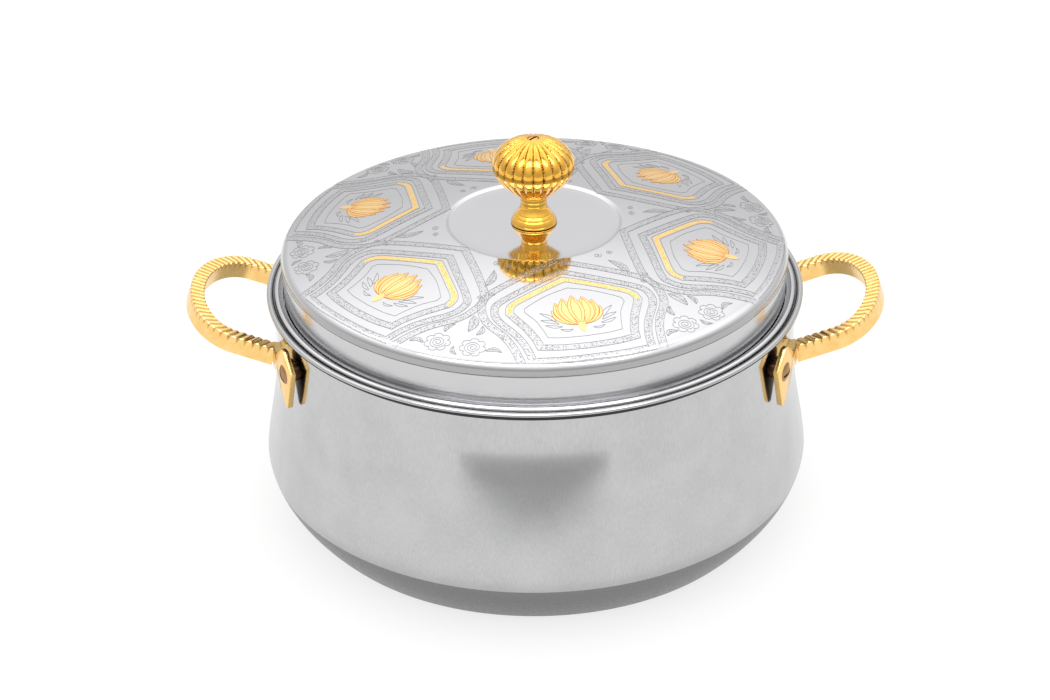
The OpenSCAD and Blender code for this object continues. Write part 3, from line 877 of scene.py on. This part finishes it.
def barSection():
    # (across, height) points round the bar, from its inner top edge outwards
    w, h, c = loop["barW"] / 2, loop["barH"], loop["round"]
    top = [(x, 0) for x in between(-w + c, w - c, 8)]
    return top + [(w, -c), (w, -h / 2), (w, -h + c), (w - c, -h), (0, -h), (-w + c, -h),
                  (-w, -h + c), (-w, -h / 2), (-w, -c)]


def loopBar(bm, shade):
    verts = [bm.verts.new((x, 0, z)) for x, z in barSection()]
    ring = [bm.edges.new(pair) for pair in zip(verts, verts[1:] + verts[:1])]
    bm.faces.new(verts)
    plane = (Matrix.Translation((loop["startX"], 0, loop["topZ"]))
             @ Matrix.Rotation(-radians(loop["tilt"]), 4, "Y"))
    up = plane.to_3x3() @ Vector((0, 0, 1))
    stations = loopStations()
    at, phase, cuts = Matrix.Identity(4), 0, {}
    for i, (x, y, nx, ny) in enumerate(stations):
        frameHere = plane @ Matrix(((nx, -ny, 0, x), (ny, nx, 0, y), (0, 0, 1, 0), (0, 0, 0, 1)))
        if i:
            made = bmesh.ops.extrude_edge_only(bm, edges=ring)["geom"]
            verts = [g for g in made if isinstance(g, bmesh.types.BMVert)]
            ring = [g for g in made if isinstance(g, bmesh.types.BMEdge)]
            step = hypot(x - stations[i - 1][0], y - stations[i - 1][1])
            bend = abs(nx)
            phase += step / (loop["pitch"] + (loop["nosePitch"] - loop["pitch"]) * bend)
        bmesh.ops.transform(bm, matrix=frameHere @ at.inverted(), verts=verts)
        at = frameHere
        slant = tan(radians(loop["slant"] * -ny))
        back = at.inverted()
        for vert in verts:
            local = back @ vert.co
            if local.z > -loop["round"] * 1.5:
                wave = phase - local.x * slant / loop["pitch"]
                cuts[vert] = loop["grooveDepth"] * (1 - abs(sin(pi * wave)) ** 0.8)
    bmesh.ops.edgeloop_fill(bm, edges=ring)
    for vert, depth in cuts.items():
        vert.co -= up * depth
        vert[shade] = depth / loop["grooveDepth"]


def platePlace():
    # from a plate drawn about its screw, with X outwards, to its place on the neck
    return (Matrix.Rotation(radians(foot["angle"]), 4, "Z")
            @ Matrix.Translation((foot["inR"], 0, foot["screwZ"])))


def footPlate(bm):
    verts = [bm.verts.new((0, t, z)) for t, z in foot["outline"]]
    face = bm.faces.new(verts)
    made = bmesh.ops.extrude_face_region(bm, geom=[face])["geom"]
    outer = [g for g in made if isinstance(g, bmesh.types.BMVert)]
    bmesh.ops.translate(bm, vec=(foot["thick"], 0, 0), verts=outer)
    plate = verts + outer
    edges = list({e for v in plate for e in v.link_edges})
    made = bmesh.ops.bevel(bm, geom=edges, offset=foot["round"], affect="EDGES", segments=3,
                           profile=0.5, material=-1)
    plate = list({v for v in made["verts"]} | {v for v in plate if v.is_valid})
    # the plate's back face, against the neck, is painted dark as the shade in the gap behind it
    for plateFace in {f for v in plate for f in v.link_faces}:
        if plateFace.calc_center_median().x < foot["round"] / 2:
            plateFace.material_index = 1
    bmesh.ops.transform(bm, matrix=platePlace(), verts=plate)


def footWeb(bm):
    # the web that turns a leg's end into its plate
    corners = [platePlace() @ Vector((x, y, z)) for x in (0.1, foot["thick"] - 0.1)
               for y in foot["webY"] for z in (-foot["webH"], foot["webH"])]
    corners += [Vector((x, y, z)) for x, z in foot["legEnd"] for y in foot["legY"]]
    verts = [bm.verts.new(c) for c in corners]
    hull = bmesh.ops.convex_hull(bm, input=verts)
    loose = [g for g in hull["geom_interior"] if isinstance(g, bmesh.types.BMVert)]
    bmesh.ops.delete(bm, geom=loose, context="VERTS")


def makeHandle(name, node, turn):
    bm = bmesh.new()
    shade = bm.verts.layers.float.new("cutDepth")
    footPlate(bm)
    footWeb(bm)
    bmesh.ops.mirror(bm, geom=bm.verts[:] + bm.edges[:] + bm.faces[:], axis="Y", merge_dist=-1)
    loopBar(bm, shade)
    bmesh.ops.recalc_face_normals(bm, faces=bm.faces)
    bmesh.ops.rotate(bm, cent=(0, 0, 0), matrix=Matrix.Rotation(turn, 3, "Z"), verts=bm.verts)
    return finishPiece(name, bm, "pot", [handleBrass, paintedShadeBrass], [node], 40)


makeHandle("rope_cut_handle_right", "right_handle", 0)
makeHandle("rope_cut_handle_left", "left_handle", pi)

screw = {
    "headR": 4.5, "headH": 1.5, "r": 2.45, "tip": 112.2, "slotW": 1.2, "slotDepth": 1.0,
    "slotTurns": (35.0, 105.0)}


def makeScrews(name, node, turn):
    # two dome-headed screws, whose slots ended at different angles
    bm = bmesh.new()
    under = foot["inR"] + foot["thick"]
    sphere = (screw["headR"] ** 2 + screw["headH"] ** 2) / (2 * screw["headH"])
    swing = atan2(screw["headR"], sphere - screw["headH"])
    dome = [(sphere * sin(a), screw["headH"] + sphere * (cos(a) - 1))
            for a in between(swing, 0, 14)]
    profile = [(0, screw["tip"] - under), (screw["r"], screw["tip"] - under), (screw["r"], 0),
               (screw["headR"] - 0.05, 0)] + dome[:-1] + [(0, screw["headH"])]
    for side, slotTurn in zip((-1, 1), screw["slotTurns"]):
        place = (Matrix.Rotation(turn + radians(side * foot["angle"]), 4, "Z")
                 @ Matrix.Translation((under, 0, foot["screwZ"]))
                 @ Matrix.Rotation(pi / 2, 4, "Y"))
        slottedShank(bm, profile, screw, radians(slotTurn), place)
    return finishPiece(name, bm, "pot", [screwMetal, paintedRecessShade], [node])


makeScrews("domed_screws_right", "right_handle_screws", 0)
makeScrews("domed_screws_left", "left_handle_screws", pi)
print("handles made")


# the nodes that keep the CAD's own solids, and their materials
cadLooks = {
    "base_plate": pressedSteel, "lid_liner": pressedSteel, "body_insulation": foam,
    "lid_insulation": foam, "knob_washer": zincSteel, "knob_nut": zincSteel}
# the handle spacers are painted dark as the shade between the plates and the neck
for side in ("left", "right"):
    cadLooks[side + "_handle_spacers"] = paintedShadeBrass
    for part in ("washers", "nuts"):
        cadLooks[side + "_handle_" + part] = zincSteel
for node, material in cadLooks.items():
    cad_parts[node].data.materials.clear()
    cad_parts[node].data.materials.append(material)


studio = {
    "floorSize": 9.0, "floorColour": "#8E8E8E", "floorGlow": 0.74,
    # the floor's glow under the pot, dimmed there as a painted shadow, and the radii over which it
    # grows to the full one
    "underGlow": 0.78, "shadeR": (0.118, 0.165),
    # brightness of the tent round the object, from the horizon up to straight overhead
    "tent": [(0.0, 0.8), (0.3, 0.86), (0.5, 1.1), (0.62, 1.45), (0.8, 1.8), (0.93, 1.0),
             (1.0, 0.7)],
    # share of that brightness in front, and how wide the change to the back is
    "frontShare": 0.82, "frontFade": 0.4}
# Two cards that only reflections show. First a bright ceiling in front of the lid: its
# corners are (across, towards the camera, up) in metres.
ceiling = {
    "glow": 6.0, "corners": [(-1.0, 0.45, 1.5), (1.0, 0.45, 1.5), (1.0, 0.95, 1.4),
                             (-1.0, 0.95, 1.4)]}
# Then a grey card round the pot's front, which its flare shows as a dark dish: rows of
# (half angle, height at its middle, drop at its ends), in millimetres.
greyCard = {
    "r": 180.0, "colour": "#E8E8E8", "columns": 16,
    "rows": [(21.5, 54.6, 1.6), (20.2, 53.0, 1.2), (18.0, 51.5, 1.0), (16.2, 50.2, 0.8),
             (13.8, 48.7, 0.7), (11.4, 46.9, 0.5), (8.6, 45.4, 0.3), (4.4, 44.2, 0.1)]}


def makeFloor():
    bm = bmesh.new()
    bmesh.ops.create_grid(bm, x_segments=1, y_segments=1, size=studio["floorSize"] / 2)
    floor = addObject("floor", meshOf(bm, "floor"))
    material, tree, shader = newMaterial("white paper floor")
    # painted shadow: reflections see the floor's glow dim in under the pot's belly
    place = addNode(tree, "TexCoord", {}).outputs["Object"]
    away = addNode(tree, "VectorMath", {0: place}, operation="LENGTH")
    under = addNode(tree, "MapRange", {
        "Value": away, "From Min": studio["shadeR"][0], "From Max": studio["shadeR"][1],
        "To Min": studio["underGlow"], "To Max": 1.0}, interpolation_type="SMOOTHSTEP")
    rays = addNode(tree, "LightPath", {}).outputs
    seen = addNode(tree, "Math", {0: rays["Is Glossy Ray"], 1: under}, operation="MULTIPLY")
    seen = addNode(tree, "Math", {0: rays["Is Camera Ray"], 1: seen}, operation="ADD")
    seen = addNode(tree, "Math", {0: seen, 1: rays["Is Transmission Ray"]},
                   operation="ADD", use_clamp=True)
    setInputs(shader, {
        "Roughness": 0.9, "Base Color": srgb(studio["floorColour"]),
        "Emission Color": (1, 1, 1, 1),
        "Emission Strength": addNode(tree, "Math", {
            0: seen, 1: studio["floorGlow"]}, operation="MULTIPLY")})
    floor.data.materials.append(material)


def makeWorld():
    world = bpy.data.worlds.new("studio")
    scene.world = world
    world.use_nodes = True
    tree = world.node_tree
    direction = addNode(tree, "TexCoord", {}).outputs["Generated"]
    along = addNode(tree, "SeparateXYZ", {0: direction}).outputs
    brightest = max(value for place, value in studio["tent"])
    tent = addNode(tree, "ValToRGB", {"Fac": along["Z"]},
                   [(place, value / brightest) for place, value in studio["tent"]])
    front = addNode(tree, "MapRange", {
        "Value": along["Y"], "From Min": -studio["frontFade"], "From Max": studio["frontFade"],
        "To Min": studio["frontShare"] * brightest, "To Max": brightest},
        interpolation_type="SMOOTHSTEP")
    tent = addNode(tree, "Math", {0: tent, 1: front}, operation="MULTIPLY")
    rays = addNode(tree, "LightPath", {}).outputs
    # the camera itself sees plain white
    strength = addNode(tree, "Mix", {0: rays["Is Camera Ray"], 2: tent, 3: 1.0})
    setInputs(tree.nodes["Background"], {"Color": (1, 1, 1, 1), "Strength": strength})


def addCard(name, bm, colour, glow=0.0):
    card = addObject(name, meshOf(bm, name))
    material, _, shader = newMaterial(name + "_card")
    setInputs(shader, {"Roughness": 0.9, "Base Color": srgb(colour),
                       "Emission Color": (1, 1, 1, 1), "Emission Strength": glow})
    card.data.materials.append(material)
    card.visible_camera = card.visible_diffuse = card.visible_shadow = False


def makeCards():
    bm = bmesh.new()
    bm.faces.new([bm.verts.new((x, -ahead, z)) for x, ahead, z in ceiling["corners"]])
    addCard("ceiling_softbox", bm, "#FFFFFF", ceiling["glow"])
    bm, rows, r = bmesh.new(), [], greyCard["r"]
    for half, height, drop in greyCard["rows"]:
        turns = [(radians(half * u), height - drop * u * u)
                 for u in between(-1, 1, greyCard["columns"])]
        rows.append([bm.verts.new((r * sin(a), -r * cos(a), z)) for a, z in turns])
    for upper, lower in zip(rows, rows[1:]):
        for i in range(greyCard["columns"]):
            bm.faces.new((upper[i], upper[i + 1], lower[i + 1], lower[i]))
    bmesh.ops.scale(bm, vec=(mmToM,) * 3, verts=bm.verts)
    addCard("grey_card", bm, greyCard["colour"])


softbox = {"place": (0.0, 0.3, 1.5), "target": (0, 0, 0.1), "size": (1.4, 1.0), "watts": 3}


def makeLamp():
    lamp = bpy.data.lights.new("top softbox", "AREA")
    lamp.shape = "RECTANGLE"
    lamp.size, lamp.size_y = softbox["size"]
    lamp.energy = softbox["watts"]
    holder = addObject("top softbox", lamp)
    holder.location = softbox["place"]
    aim = Vector(softbox["target"]) - Vector(softbox["place"])
    holder.rotation_euler = aim.to_track_quat("-Z", "Y").to_euler()


# The camera as it was solved from the photograph: focal length in its pixels, place in
# millimetres, and angles in degrees.
view = {
    "focalPx": 2247.2, "imageW": 1050, "place": (-4.874, -932.0, 602.7), "dip": 29.551,
    "roll": -0.708, "potTurn": -0.8}


def makeCamera():
    camera = bpy.data.cameras.new("camera")
    camera.sensor_fit, camera.sensor_width = "HORIZONTAL", 36
    camera.lens = view["focalPx"] / view["imageW"] * camera.sensor_width
    camera.clip_start, camera.clip_end = 0.01, 50
    holder = addObject("camera", camera)
    dip, roll = radians(view["dip"]), radians(view["roll"])
    right, up = Vector((1, 0, 0)), Vector((0, sin(dip), cos(dip)))
    back = Vector((0, -cos(dip), sin(dip)))
    rolledRight = right * cos(roll) + up * sin(roll)
    rolledUp = up * cos(roll) - right * sin(roll)
    turn = Matrix.Rotation(-radians(view["potTurn"]), 4, "Z")
    axes = Matrix((rolledRight, rolledUp, back)).transposed().to_4x4()
    holder.matrix_world = turn @ Matrix.Translation(Vector(view["place"]) * mmToM) @ axes
    scene.camera = holder


makeFloor()
makeWorld()
makeCards()
makeLamp()
makeCamera()
scene.view_settings.view_transform = "Standard"
print("stage set")
